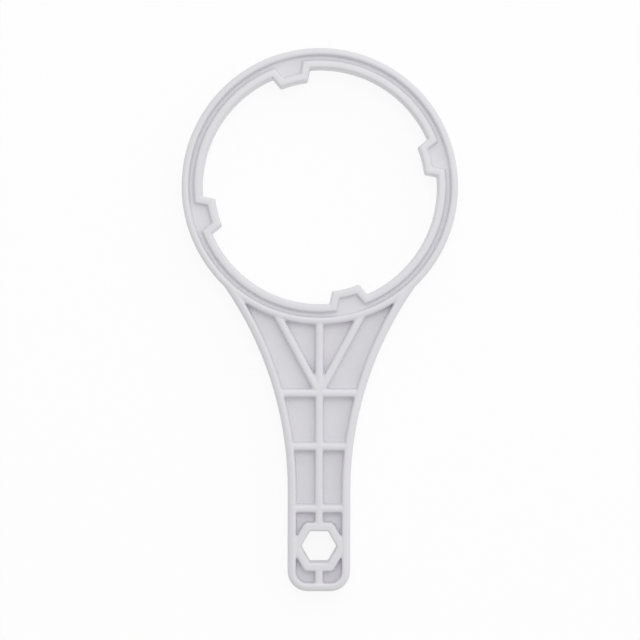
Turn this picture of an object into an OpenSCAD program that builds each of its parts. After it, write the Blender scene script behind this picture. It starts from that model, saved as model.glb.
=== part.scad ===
// Ring wrench for the screw-on bowls of water filter housings, moulded in one piece.
// The ring's axis is the Z axis, the wrench lies on the plane z = 0 and the handle points to -Y.
// Both faces are alike: rims and ribs stand on a web in the middle of the thickness.

/* [Section] */
// Thickness of the wrench over its rims
thickness = 12; // [10:0.5:18]
// Thickness of the handle's web, between the pockets of the two faces
web_t = 2.5; // [2:0.1:5]
// Thickness of the web in the ring's channel and in the lugs
ring_web_t = 7; // [5:0.1:8]
// Draft of every wall, in degrees, both ways from the parting line
draft = 2; // [0.5:0.5:3]
// Rounding of the free edges, where no other is given
edge_r = 0.8; // [0.5:0.1:1.1]
// Fillet at the root of rims and ribs
root_r = 0.4; // [0.2:0.05:0.6]
// How far the ribs and the boss stay below the rims
rib_drop = 0.3; // [0.1:0.05:0.6]

/* [Ring] */
// Diameter of the clear hole, at the parting line
hole_d = 93.4; // [84:0.2:110]
// Thickness of the wall round the hole, at its root
hole_wall = 3.3; // [3:0.1:5]
// Width of the channel between the two walls of the ring
channel_w = 2; // [1.8:0.1:6]
// Thickness of the outer rim, at its root
rim_wall = 3; // [2.8:0.1:5]
// Rounding of the outer edges of the ring
ring_edge_r = 1.4; // [0.8:0.1:1.4]

/* [Lugs] */
// Number of lugs round the hole
lug_count = 4; // [2:1:6]
// Height of a lug, inward from the hole
lug_h = 4.8; // [3:0.1:7]
// Width of a lug across its tip
lug_tip_w = 11.5; // [9.5:0.1:15]
// Slope of a lug's flanks to its own axis, in degrees
lug_slope = 25; // [5:0.5:30]
// Rounding of a lug's flanks, as a share of that of its tip
lug_edge = 0.9; // [0.6:0.05:0.95]
// Turn of the first lug from the +X axis, in degrees
lug_turn = 14.4; // [0:0.1:90]

/* [Handle] */
// Length of the handle from the ring's outside to its end
handle_len = 105.8; // [96:0.2:150]
// Width of the grip
grip_w = 25; // [24:0.5:32]
// Thickness of the rim along the handle, at its root
side_wall = 3.5; // [3.3:0.1:4.4]
// Rounding of the outer edges of the handle
grip_r = 1.9; // [1:0.1:1.9]
// Radius of the concave flanks between grip and ring
flank_r = 142; // [120:1:160]
// How far the circle of a flank cuts into the ring's circle
flank_bite = 0.8; // [0.6:0.1:1.5]
// Radius of the two corners at the end
corner_r = 8; // [6:0.5:10]

/* [Ribs] */
// Thickness of the ribs, at their root
rib_w = 3.4; // [3:0.1:4]
// Rounding of the free edges of the ribs
rib_edge_r = 1.2; // [0.8:0.1:1.3]
// First cross rib, from the ring's outside
cross_1 = 27; // [22:0.2:32]
// Second cross rib, from the ring's outside
cross_2 = 48.2; // [42:0.2:54]
// Third cross rib, from the ring's outside
cross_3 = 72.8; // [66:0.2:74]
// Slope of the two diagonal ribs to the centre rib, in degrees
diagonal = 28.4; // [20:0.2:34]

/* [Hexagon socket] */
// Width of the hexagon hole across its flats, at the parting line
hex_w = 12.1; // [8:0.1:13]
// Thickness of the boss round the hexagon, at its root
hex_wall = 3.7; // [3:0.1:4.6]
// How much is rounded off the corners of the boss
boss_trim = 0.4; // [0.3:0.1:1]
// Distance of the hexagon's centre from the end of the handle
hex_back = 17.8; // [16:0.2:19]

/* [Hidden] */
$fn = 96;
edge_steps = 3;
root_steps = 2;
corner_steps = 2;
sink = 0.1;
over = 1;

half_t = thickness / 2;
depth = half_t - web_t / 2;
ring_depth = half_t - ring_web_t / 2;
rib_depth = depth - rib_drop;
hole_r = hole_d / 2;
channel_r = hole_r + hole_wall;
rim_r = channel_r + channel_w;
ring_r = rim_r + rim_wall;
rim_mid_r = ring_r - rim_wall / 2;
tip_r = hole_r - lug_h;
lug_sweep = 360 / lug_count;
lug_reach = lug_tip_w + ring_r - tip_r;
end_y = -ring_r - handle_len;
corner_x = grip_w / 2 - corner_r;
corner_y = end_y + corner_r;
flank_x = grip_w / 2 + flank_r;
grip_len = -sqrt(pow(flank_r + ring_r - flank_bite, 2) - pow(flank_x, 2)) - corner_y;
flank_y = corner_y + grip_len;
flank_sweep = atan2(-flank_y, flank_x);
boss_w = hex_w + 2 * hex_wall;
boss_r = boss_w / 2 / cos(30) - boss_trim;
hex_y = end_y + hex_back;
star_y = -ring_r - cross_1;

// Side of a wall from the parting line to its free edge, as [how far it has drawn back, height]
function free_side(h, r) = let (back = (h - r) * tan(draft)) concat(
    [[0, 0]],
    [for (k = [0:edge_steps]) let (a = 90 * k / edge_steps)
        [back + r * (1 - cos(a)), h - r * (1 - sin(a))]]);

// Side of a wall that stands on the web, with the fillet at its root
function web_side(h, r, root = root_r) = concat(
    [for (k = [0:root_steps - 1]) let (a = 90 * k / root_steps)
        [-root * (1 - sin(a)), root * (1 - cos(a)) - sink]],
    [for (p = free_side(h, r)) if (p[1] > root) p]);

function reversed(list) = [for (k = [len(list) - 1:-1:0]) list[k]];
function placed(side, x, way, z) = [for (p = side) [x + way * p[0], z + p[1]]];

// Full section from the points of its upper half, which start and end at the parting line
function both_faces(upper) = concat(upper, [for (p = reversed(upper)) if (p[1] > 0) [p[0], -p[1]]]);

// Section of the ring: wall round the hole, channel and outer rim
function ring_section() = both_faces(concat(
    placed(free_side(half_t, edge_r), hole_r, 1, 0),
    reversed(placed(web_side(ring_depth, edge_r), channel_r, -1, ring_web_t / 2)),
    placed(web_side(ring_depth, edge_r), rim_r, 1, ring_web_t / 2),
    reversed(placed(free_side(half_t, ring_edge_r), ring_r, -1, 0))));

// Section of the rim along the handle, from its outer face at x = 0 inward
function rim_section() = both_faces(concat(
    placed(free_side(half_t, grip_r), 0, 1, 0),
    reversed(placed(web_side(depth, edge_r), side_wall, -1, web_t / 2)),
    [[side_wall + root_r, 0]]));

// Section of a rib or boss of width w, with edges of radius r
function rib_section(w, r) = both_faces(concat(
    [[-w / 2 - root_r, 0]],
    placed(web_side(rib_depth, r), -w / 2, 1, web_t / 2),
    reversed(placed(web_side(rib_depth, r), w / 2, -1, web_t / 2)),
    [[w / 2 + root_r, 0]]));

// Section across two opposite flats of the hexagon hole
function hex_section() =
    let (side = free_side(half_t - rib_drop, edge_r), mouth = side[len(side) - 1][0])
    both_faces(concat(
        placed(side, -hex_w / 2, -1, 0),
        [for (way = [-1, 1]) [way * (hex_w / 2 + mouth), half_t + over]],
        reversed(placed(side, hex_w / 2, 1, 0))));

// Section of a lug from its outer face at x inward to far, with a share of the full rounding
function lug_section(x, far, share) = both_faces(concat(
    placed(free_side(half_t, share * edge_r), x, 1, 0),
    [[far, half_t], [far, 0]]));

// Section of the pocket in a lug's upper face, whose wall has its outer face at x
function pocket_section(x, far, share) =
    let (wall = web_side(ring_depth, share * edge_r, share * root_r))
    let (side = placed(wall, x + hole_wall, -1, ring_web_t / 2))
    concat(
        side,
        [[side[len(side) - 1][0], half_t + over], [far, half_t + over], [far, side[0][1]]]);

// Half the width of the handle at y, to the middle of its rim
function rim_x(y) = y > flank_y
    ? flank_x - sqrt(pow(flank_r + side_wall / 2, 2) - pow(y - flank_y, 2))
    : (grip_w - side_wall) / 2;

// A bar of the given section, centred on the origin and lying along Y
module bar(section, length) {
    rotate([90, 0, 0]) linear_extrude(length, center = true) polygon(section);
}

// A ring sector of the given section, centred on +X
module sector(section, sweep) {
    rotate(-sweep / 2) rotate_extrude(angle = sweep) polygon(section);
}

// A rib between two points of the plan
module rib(from, to) {
    way = to - from;
    translate((from + to) / 2) rotate(atan2(way[1], way[0]) - 90)
        bar(rib_section(rib_w, rib_edge_r), norm(way));
}

// Three bars of one section crossed to a hexagon, with two of its flats at the given turn from X
module hexagon(section, turn) {
    intersection_for(side = [30:60:150]) rotate(turn + side) bar(section, 2 * boss_w);
}

// What two flanks of a lug at +X have between them, each with the given section
module between_flanks(section) {
    intersection_for(way = [0, 1]) mirror([0, way, 0])
        translate([tip_r, -lug_tip_w / 2, 0]) rotate(90 - lug_slope) bar(section, 2 * lug_reach);
}

module lug_block() {
    intersection() {
        sector(lug_section(tip_r, hole_r + hole_wall / 2, 1), lug_sweep);
        between_flanks(lug_section(0, lug_reach, lug_edge));
    }
}

module lug_pocket() {
    intersection() {
        sector(pocket_section(tip_r, channel_r + channel_w / 2, 1), lug_sweep);
        between_flanks(pocket_section(0, lug_reach, lug_edge));
    }
}

module ring() {
    difference() {
        union() {
            rotate_extrude() polygon(ring_section());
            for (k = [0:lug_count - 1]) rotate(lug_turn + k * lug_sweep) lug_block();
        }
        for (k = [0:lug_count - 1], face = [0, 1])
            rotate(lug_turn + k * lug_sweep) mirror([0, 0, face]) lug_pocket();
    }
}

// Left half of the handle's rim: flank, then grip side and corner, whose ends meet point by point
module side_rim() {
    difference() {
        translate([-flank_x, flank_y, 0]) rotate_extrude(angle = flank_sweep)
            translate([flank_r, 0]) polygon(rim_section());
        cylinder(r = rim_mid_r, h = 2 * thickness, center = true);
    }
    corner_section = placed(rim_section(), corner_r, -1, 0);
    translate([-corner_x, corner_y, 0]) rotate(180) {
        rotate([90, 0, 0]) linear_extrude(grip_len) polygon(corner_section);
        rotate_extrude(angle = 90) polygon(corner_section);
    }
}

module handle_rim() {
    for (way = [0, 1]) mirror([way, 0, 0]) side_rim();
    translate([0, end_y, 0]) rotate(90) bar(rim_section(), 2 * corner_x);
}

// Plan of the web, whose edges lie inside the rims
module web_plan() {
    inset = side_wall / 4;
    polygon(concat(
        [[grip_w / 2 - inset, flank_y + over], [-grip_w / 2 + inset, flank_y + over]],
        [for (k = [0:corner_steps]) let (a = 180 + 90 * k / corner_steps)
            [-corner_x, corner_y] + (corner_r - inset) * [cos(a), sin(a)]],
        [for (k = [0:corner_steps]) let (a = 270 + 90 * k / corner_steps)
            [corner_x, corner_y] + (corner_r - inset) * [cos(a), sin(a)]]));
    difference() {
        flare = ring_r * [cos(flank_sweep), -sin(flank_sweep)];
        translate([-flare[0], flank_y]) square([2 * flare[0], flare[1] - flank_y]);
        for (way = [-1, 1]) translate([way * flank_x, flank_y]) circle(flank_r + side_wall / 2);
        circle(rim_mid_r);
    }
}

module ribs() {
    rib([0, end_y + side_wall / 2], [0, -rim_mid_r]);
    for (from_ring = [cross_1, cross_2, cross_3]) {
        y = -ring_r - from_ring;
        rib([-rim_x(y), y], [rim_x(y), y]);
    }
    for (way = [-1, 1]) {
        reach = -star_y * cos(diagonal) - sqrt(pow(rim_mid_r, 2) - pow(star_y * sin(diagonal), 2));
        rib([0, star_y], [0, star_y] + reach * [way * sin(diagonal), cos(diagonal)]);
    }
}

module boss() {
    intersection() {
        hexagon(rib_section(boss_w, edge_r), 0);
        hexagon(rib_section(2 * boss_r, edge_r), 30);
    }
}

module wrench() {
    color("whitesmoke") translate([0, 0, half_t]) difference() {
        union() {
            ring();
            linear_extrude(web_t, center = true) web_plan();
            handle_rim();
            ribs();
            translate([0, hex_y, 0]) boss();
        }
        translate([0, hex_y, 0]) hexagon(hex_section(), 0);
    }
}

wrench();
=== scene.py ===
# %% [markdown]
# # A filter housing wrench, moulded in one piece
#
# The wrench lies flat on white paper and the camera looks straight down on it. The solid comes from the
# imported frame, in metres, with the ring's axis at the origin and the handle along -Y. This lesson gives it
# what a solid model leaves out: soft corners, the fine line its mould leaves and the satin of its plastic.

# %% Load the frame
import math

import bpy
import numpy as np
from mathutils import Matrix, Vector


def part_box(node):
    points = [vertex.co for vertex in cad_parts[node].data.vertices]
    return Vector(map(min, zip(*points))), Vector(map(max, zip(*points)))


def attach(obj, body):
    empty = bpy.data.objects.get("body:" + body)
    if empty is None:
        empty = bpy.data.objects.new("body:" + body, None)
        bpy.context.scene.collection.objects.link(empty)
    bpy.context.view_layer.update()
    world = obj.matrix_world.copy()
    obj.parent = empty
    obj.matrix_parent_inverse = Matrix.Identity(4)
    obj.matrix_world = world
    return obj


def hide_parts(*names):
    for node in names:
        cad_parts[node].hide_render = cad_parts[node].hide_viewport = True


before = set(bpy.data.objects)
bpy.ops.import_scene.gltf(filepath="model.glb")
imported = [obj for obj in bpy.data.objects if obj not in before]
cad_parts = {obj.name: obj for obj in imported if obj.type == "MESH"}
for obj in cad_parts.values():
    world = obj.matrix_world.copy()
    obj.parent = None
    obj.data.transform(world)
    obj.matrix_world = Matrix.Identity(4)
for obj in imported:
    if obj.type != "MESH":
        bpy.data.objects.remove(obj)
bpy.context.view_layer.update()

MM = 0.001
scene = bpy.context.scene
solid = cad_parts["wrench"]
low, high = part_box("wrench")
middle = (low + high) / 2
print("solid, mm:", [round(size / MM, 2) for size in high - low])

# %% [markdown]
# ## Camera
#
# A product photo like this one is taken from far above with a long lens, so that walls hardly lean outward.
# The lens could be tried by eye, but three measures fix it: how many pixels a millimetre takes in the middle
# of the thickness, where the ring's centre lies in the picture, and how high the camera stands. A turn of a
# fraction of a degree makes up for a wrench that wasn't laid quite straight.

# %% Place the camera
IMAGE_PX = 640
RING_CENTRE_PX = Vector((319.85, 186.87))
PX_PER_MM = 2.51
CAMERA_RISE = 950 * MM
CAMERA_TURN = math.radians(0.15)

camera_data = bpy.data.cameras.new("camera")
camera = bpy.data.objects.new("camera", camera_data)
scene.collection.objects.link(camera)
scene.camera = camera
view_width = IMAGE_PX / PX_PER_MM * MM
camera_data.lens = camera_data.sensor_width * CAMERA_RISE / view_width
camera.rotation_euler.z = CAMERA_TURN

to_ring = (RING_CENTRE_PX - Vector((IMAGE_PX, IMAGE_PX)) / 2) / PX_PER_MM * MM
right = Vector((math.cos(CAMERA_TURN), math.sin(CAMERA_TURN), 0))
up = Vector((-right.y, right.x, 0))
camera.location = -to_ring.x * right + to_ring.y * up
camera.location.z = middle.z + CAMERA_RISE
print("lens, mm:", round(camera_data.lens, 1), "camera, mm:", [round(c / MM, 2) for c in camera.location])

# %% [markdown]
# ## Body: ring, lugs, handle and ribs
#
# Steel moulds have no knife edges: the plastic rounds off where two ribs cross, in the corners of the pockets
# and at the foot of each wall. The solid has facets on its edges and sharp lines where pieces run into each
# other. A bevel on such a mesh tears at the crossings. So a copy is rebuilt from small cubes of space, with
# the Remesh modifier, and the Smooth modifier then relaxes the skin by about the radius of a fillet, at every
# edge and crossing alike. Decimate thins out what is flat, where small faces have nothing to show. A skin
# made of cubes can stand a hair proud of the flats, so at last it is trimmed to the solid's box.

# %% Round every corner
WELD_REACH = 0.001 * MM
VOXEL = 0.3 * MM
FILLET_ROUNDS = 2
FILLET_PULL = 0.5  # how far a point moves in each round, as a share of the way to its neighbours

body = bpy.data.objects.new("moulded_wrench", solid.data.copy())
scene.collection.objects.link(body)
body.modifiers.new("join faces", "WELD").merge_threshold = WELD_REACH
remesh = body.modifiers.new("even skin", "REMESH")
remesh.mode = "VOXEL"
remesh.voxel_size = VOXEL
fillet = body.modifiers.new("fillets", "SMOOTH")
fillet.factor = FILLET_PULL
fillet.iterations = FILLET_ROUNDS


def settled(piece):
    """The piece's mesh with its modifiers worked in."""
    return bpy.data.meshes.new_from_object(piece.evaluated_get(bpy.context.evaluated_depsgraph_get()))


body.data = settled(body)
body.modifiers.clear()
print("even skin:", len(body.data.vertices), "points")

# %% Thin out the flats
BODY_TRIANGLES = 190_000

thin = body.modifiers.new("thin flats", "DECIMATE")
thin.ratio = BODY_TRIANGLES / (2 * len(body.data.polygons))  # the even skin is of quads, two triangles each
body.data = settled(body)
body.modifiers.clear()
body.data.shade_smooth()
print("thinned skin:", len(body.data.polygons), "faces")

# %% Keep the skin inside the solid's box
points = np.empty(3 * len(body.data.vertices), np.float32)
body.data.vertices.foreach_get("co", points)
trimmed = np.clip(points.reshape(-1, 3), np.array(low), np.array(high)).ravel()
body.data.vertices.foreach_set("co", trimmed)
body.data.update()
print("furthest trimmed, mm:", round(float(np.abs(trimmed - points).max()) / MM, 4))

# %% Put the body in the solid's place
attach(body, "root")
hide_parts("wrench")
print(body.name, "stands for the solid")

# %% [markdown]
# ## Plastic
#
# The wrench is polypropylene with white pigment, moulded in a tool with a fine spark-eroded grain. That gives
# the eye a satin: a broad, weak highlight, no mirror image, and a cool white that is even at arm's length.
# Close to, the flow of the melt leaves faint clouds and the grain breaks up the gloss. A single colour would
# look like paper, so clouds and grain are drawn with noise at sizes taken from the real ones. Half way up
# every wall runs the hair of flash where the two halves of the mould met. It is far finer than the skin's
# faces, so it is a relief in the finish, found by its height alone.

# %% Colour and node helpers
def linear(hex_colour):
    """An sRGB colour such as "E2E2E6" as linear RGBA."""
    parts = [int(hex_colour[k:k + 2], 16) / 255 for k in (0, 2, 4)]
    return [c / 12.92 if c <= 0.04045 else ((c + 0.055) / 1.055) ** 2.4 for c in parts] + [1.0]


def add(tree, kind, inputs=None, **settings):
    """Adds a node. Each input is a value, or the output socket of another node."""
    node = tree.nodes.new(kind)
    for name, value in settings.items():
        setattr(node, name, value)
    for socket, value in (inputs or {}).items():
        if isinstance(value, bpy.types.NodeSocket):
            tree.links.new(value, node.inputs[socket])
        else:
            node.inputs[socket].default_value = value
    return node


def blank(name):
    """A new material with an empty node tree."""
    material = bpy.data.materials.new(name)
    material.use_nodes = True
    material.node_tree.nodes.clear()
    return material


print("middle grey, linear:", round(linear("808080")[0], 3))

# %% Clouds and grain
CLOUD = 22 * MM
CLOUD_DIM, CLOUD_BRIGHT = linear("E1E0E4"), linear("E6E5E9")
GRAIN = 0.8 * MM  # about three times the real grain, which is too fine to show at this distance
GRAIN_HEIGHT = 0.05 * MM  # the noise's full range, of which the grain takes up about a third
GLOSSIEST, DULLEST = 0.32, 0.44  # roughness of a satin moulding, between the grain's low and high places

plastic = blank("white_moulded_polypropylene")
tree = plastic.node_tree
place = add(tree, "ShaderNodeTexCoord").outputs["Object"]
cloud = add(tree, "ShaderNodeTexNoise", {"Vector": place, "Scale": 1 / CLOUD, "Detail": 3.0})
grain = add(tree, "ShaderNodeTexNoise", {"Vector": place, "Scale": 1 / GRAIN, "Detail": 2.0})
tint = add(tree, "ShaderNodeMix", {
    "Factor": cloud.outputs["Fac"], "A": CLOUD_DIM, "B": CLOUD_BRIGHT}, data_type="RGBA")
gloss = add(tree, "ShaderNodeMapRange", {
    "Value": grain.outputs["Fac"], "To Min": GLOSSIEST, "To Max": DULLEST})
relief = add(tree, "ShaderNodeBump", {"Height": grain.outputs["Fac"], "Distance": GRAIN_HEIGHT})
print("clouds along the wrench:", round((high - low).y / CLOUD, 1))

# %% Hair of flash
FLASH_WIDTH = 0.4 * MM  # about twice the real one, which is too fine to show from arm's length
FLASH_HEIGHT = 0.06 * MM

height = add(tree, "ShaderNodeSeparateXYZ", {"Vector": place}).outputs["Z"]
above = add(tree, "ShaderNodeMath", {0: height, 1: middle.z}, operation="SUBTRACT")
away = add(tree, "ShaderNodeMath", {0: above.outputs["Value"]}, operation="ABSOLUTE")
flash = add(tree, "ShaderNodeMapRange", {
    "Value": away.outputs["Value"], "From Max": FLASH_WIDTH / 2, "To Min": 1.0, "To Max": 0.0},
    interpolation_type="SMOOTHSTEP")
parting = add(tree, "ShaderNodeBump", {
    "Height": flash.outputs["Result"], "Distance": FLASH_HEIGHT, "Normal": relief.outputs["Normal"]})
print("parting line at z, mm:", round(middle.z / MM, 2))

# %% White moulded polypropylene
POLYPROPYLENE_IOR = 1.49

skin = add(tree, "ShaderNodeBsdfPrincipled", {
    "Base Color": tint.outputs["Result"],
    "Roughness": gloss.outputs["Result"],
    "Normal": parting.outputs["Normal"],
    "IOR": POLYPROPYLENE_IOR,
})
add(tree, "ShaderNodeOutputMaterial", {"Surface": skin.outputs["BSDF"]})
body.data.materials.clear()
body.data.materials.append(plastic)
print("plastic:", len(tree.nodes), "nodes")

# %% [markdown]
# ## Table
#
# The wrench lies on matt white paper, which gives the eye an even white with no shine. Paper that is lit to
# full white would throw too much light back on the wrench. So it is plain paper for every ray that lights the
# wrench, and for rays that show it, straight or in a reflection, it is mostly a white of its own. A small
# share of what they show still takes the light of the room, which keeps the shadow.

# %% Table top
TABLE_SIDE = 6.0

bpy.ops.mesh.primitive_plane_add(size=TABLE_SIDE, location=(0, 0, low.z))
table = bpy.context.object
table.name = "table"
print("table at z, mm:", round(low.z / MM, 3))

# %% White ground with a soft shadow
SHADOW_SHARE = 0.12


def picture_rays(tree):
    """A socket that is 1 for rays that show a thing, straight, mirrored or through glass, and else 0."""
    rays = add(tree, "ShaderNodeLightPath")
    straight = add(tree, "ShaderNodeMath", {
        0: rays.outputs["Is Camera Ray"], 1: rays.outputs["Is Glossy Ray"]}, operation="MAXIMUM")
    any_of_them = add(tree, "ShaderNodeMath", {
        0: straight.outputs["Value"], 1: rays.outputs["Is Transmission Ray"]}, operation="MAXIMUM")
    return any_of_them.outputs["Value"]


ground = blank("matt_white_paper")
tree = ground.node_tree
lit = add(tree, "ShaderNodeBsdfDiffuse", {"Color": linear("F2F2F2")})
white = add(tree, "ShaderNodeEmission", {"Color": linear("FFFFFF"), "Strength": 1.0})
paper = add(tree, "ShaderNodeBsdfDiffuse", {"Color": linear("FFFFFF")})
seen = add(tree, "ShaderNodeMixShader", {
    "Fac": SHADOW_SHARE, 1: white.outputs["Emission"], 2: paper.outputs["BSDF"]})
shown = add(tree, "ShaderNodeMixShader", {
    "Fac": picture_rays(tree), 1: lit.outputs["BSDF"], 2: seen.outputs["Shader"]})
add(tree, "ShaderNodeOutputMaterial", {"Surface": shown.outputs["Shader"]})
table.data.materials.append(ground)
print("ground:", len(tree.nodes), "nodes")

# %% [markdown]
# ## Light
#
# In the photo the edges that face up and to the right are bright, and each rib has a soft shadow below it and
# to its left: the room is brighter at the upper right, and a small lamp hangs nearly overhead. Lamps alone
# would draw harder shadows than the photo has. So most of the light is the world's colour, which slants from
# bright on one side to dim on the other, and the lamp is a weak area light. Together they light a level
# surface to about its own colour.

# %% Room that is brighter on one side
ROOM_LEVEL = 0.762
ROOM_SLANT = 0.43
BRIGHT_SIDE = Vector((0.61, 0.79, 0))

world = bpy.data.worlds.new("bright_room")
scene.world = world
world.use_nodes = True
tree = world.node_tree
tree.nodes.clear()
dimmest, brightest = ROOM_LEVEL * (1 - ROOM_SLANT), ROOM_LEVEL * (1 + ROOM_SLANT)
way = add(tree, "ShaderNodeTexCoord").outputs["Generated"]
facing = add(tree, "ShaderNodeVectorMath", {0: way, 1: BRIGHT_SIDE}, operation="DOT_PRODUCT")
level = add(tree, "ShaderNodeMapRange", {
    "Value": facing.outputs["Value"], "From Min": -1.0, "From Max": 1.0,
    "To Min": dimmest, "To Max": brightest})
room = add(tree, "ShaderNodeBackground", {
    "Color": linear("FFFFFF"), "Strength": level.outputs["Result"]})
backdrop = add(tree, "ShaderNodeBackground", {"Color": linear("FFFFFF"), "Strength": 1.0})
shown = add(tree, "ShaderNodeMixShader", {
    "Fac": picture_rays(tree), 1: room.outputs["Background"], 2: backdrop.outputs["Background"]})
add(tree, "ShaderNodeOutputWorld", {"Surface": shown.outputs["Shader"]})
print("room, dim and bright side:", round(dimmest, 2), round(brightest, 2))

# %% Lamp overhead
LAMP_LEVEL = 0.135  # light on a level surface, where 1 shows a colour as it is written
LAMP_WAY = Vector((0.1, 0.35, 0.93)).normalized()
LAMP_DISTANCE = 0.8
LAMP_SIDE = 0.4

lamp_data = bpy.data.lights.new("lamp", "AREA")
lamp_data.shape = "DISK"
lamp_data.size = LAMP_SIDE
lamp_data.energy = LAMP_LEVEL * math.pi ** 2 * LAMP_DISTANCE ** 2 / LAMP_WAY.z
lamp = bpy.data.objects.new("lamp", lamp_data)
scene.collection.objects.link(lamp)
lamp.location = middle + LAMP_DISTANCE * LAMP_WAY
lamp.rotation_euler = LAMP_WAY.to_track_quat("Z", "Y").to_euler()
print("lamp, watts:", round(lamp_data.energy, 2))

# %% [markdown]
# ## View settings
#
# Colours are shown as they are written, with the Standard view.

# %% Finish
scene.view_settings.view_transform = "Standard"
